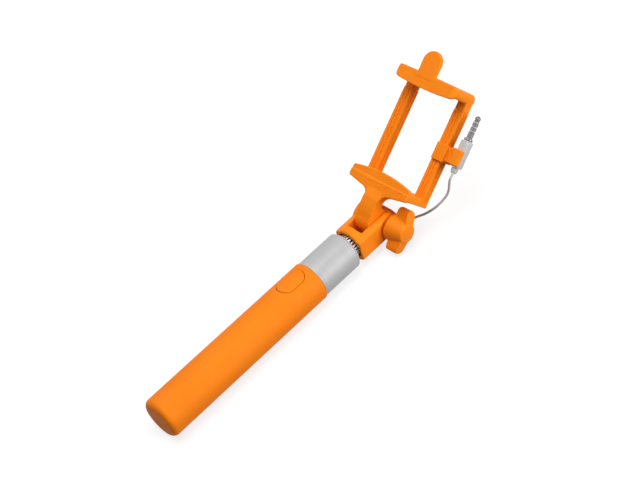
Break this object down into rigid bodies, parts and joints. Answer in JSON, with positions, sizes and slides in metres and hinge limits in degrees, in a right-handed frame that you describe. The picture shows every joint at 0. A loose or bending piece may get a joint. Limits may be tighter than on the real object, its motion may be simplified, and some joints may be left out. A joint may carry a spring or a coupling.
{
  "type": "selfie stick",
  "caption": "Telescopic handheld pole with a soft grip and shutter button, a tilt head locked by a wing knob, and a spring phone clamp with a wired audio plug.",
  "frame": {"origin": "centre of the handle's flat end face", "axes": "+Y along the stick to the phone clamp, +Z the front with the shutter button, +X along the tilt axis to the wing knob"},
  "size_m": [0.058, 0.2494, 0.0855],
  "materials": {
    "grip": "soft-touch satin",
    "orange": "satin moulded",
    "silver": "brushed, bare",
    "bright": "polished",
    "steel": "plain",
    "black": "matte",
    "board": "matte",
    "grey": "matte"
  },
  "bodies": {
    "handle": {"grip_sleeve": "grip", "handle_core": "black", "outer_tube": "steel", "end_plug": "black", "collar": "silver", "switch_board": "board", "tact_switch": "black"},
    "button": {"shutter_button": "grip"},
    "section_1": {"section_1": "bright", "bush_1": "black"},
    "section_2": {"section_2": "bright", "bush_2": "black"},
    "section_3": {"section_3": "bright", "bush_3": "black"},
    "section_4": {"section_4": "bright", "bush_4": "black"},
    "head": {"section_5": "bright", "bush_5": "black", "ribbed_ring": "bright", "yoke": "orange", "pivot_nut": "steel", "grub_screw": "steel", "lead_grommet": "grey", "lead_coil": "grey", "lead_cable": "grey"},
    "washer": {"pivot_washer": "steel"},
    "knob": {"wing_knob": "orange", "pivot_screw": "steel"},
    "clamp": {"lower_jaw": "orange", "guide_tube_left": "orange", "guide_tube_right": "orange", "plug_clip": "orange", "plug_body": "grey", "plug_relief": "grey", "jack_sleeve": "bright", "jack_ring_1": "bright", "jack_ring_2": "bright", "jack_tip": "bright", "jack_core": "grey", "jaw_spring_left": "steel", "jaw_spring_right": "steel"},
    "jaw": {"upper_jaw": "orange", "jaw_leg_left": "orange", "jaw_leg_right": "orange"}
  },
  "joints": [
    {"name": "button_press", "type": "slide", "parent": "handle", "child": "button", "axis": [0, 0, -1], "range_m": [0, 0.0006], "stiffness_N_per_m": 1500, "springref_m": -0.0004},
    {"name": "section_1_slide", "type": "slide", "parent": "handle", "child": "section_1", "axis": [0, 1, 0], "range_m": [0, 0.115]},
    {"name": "section_2_slide", "type": "slide", "parent": "section_1", "child": "section_2", "axis": [0, 1, 0], "range_m": [0, 0.108]},
    {"name": "section_3_slide", "type": "slide", "parent": "section_2", "child": "section_3", "axis": [0, 1, 0], "range_m": [0, 0.101]},
    {"name": "section_4_slide", "type": "slide", "parent": "section_3", "child": "section_4", "axis": [0, 1, 0], "range_m": [0, 0.094]},
    {"name": "section_5_slide", "type": "slide", "parent": "section_4", "child": "head", "axis": [0, 1, 0], "range_m": [0, 0.087]},
    {"name": "knob_out", "type": "slide", "parent": "head", "child": "washer", "axis": [1, 0, 0], "range_m": [0, 0.00161]},
    {"name": "knob_turn", "type": "hinge", "parent": "washer", "child": "knob", "pos_m": [0, 0.1758, 0], "axis": [1, 0, 0], "range_deg": [0, 720]},
    {"name": "head_tilt", "type": "hinge", "parent": "head", "child": "clamp", "pos_m": [0, 0.1758, 0], "axis": [1, 0, 0], "range_deg": [-120, 53], "deforming": ["lead_cable"]},
    {"name": "jaw_slide", "type": "slide", "parent": "clamp", "child": "jaw", "axis": [0, 0.7986, 0.6018], "range_m": [0, 0.025], "stiffness_N_per_m": 150, "springref_m": -0.03, "deforming": ["jaw_spring_left", "jaw_spring_right"]}
  ],
  "couplings": [
    {"joint": "knob_out", "follows": "knob_turn", "m_per_rad": 0.00012732}
  ]
}
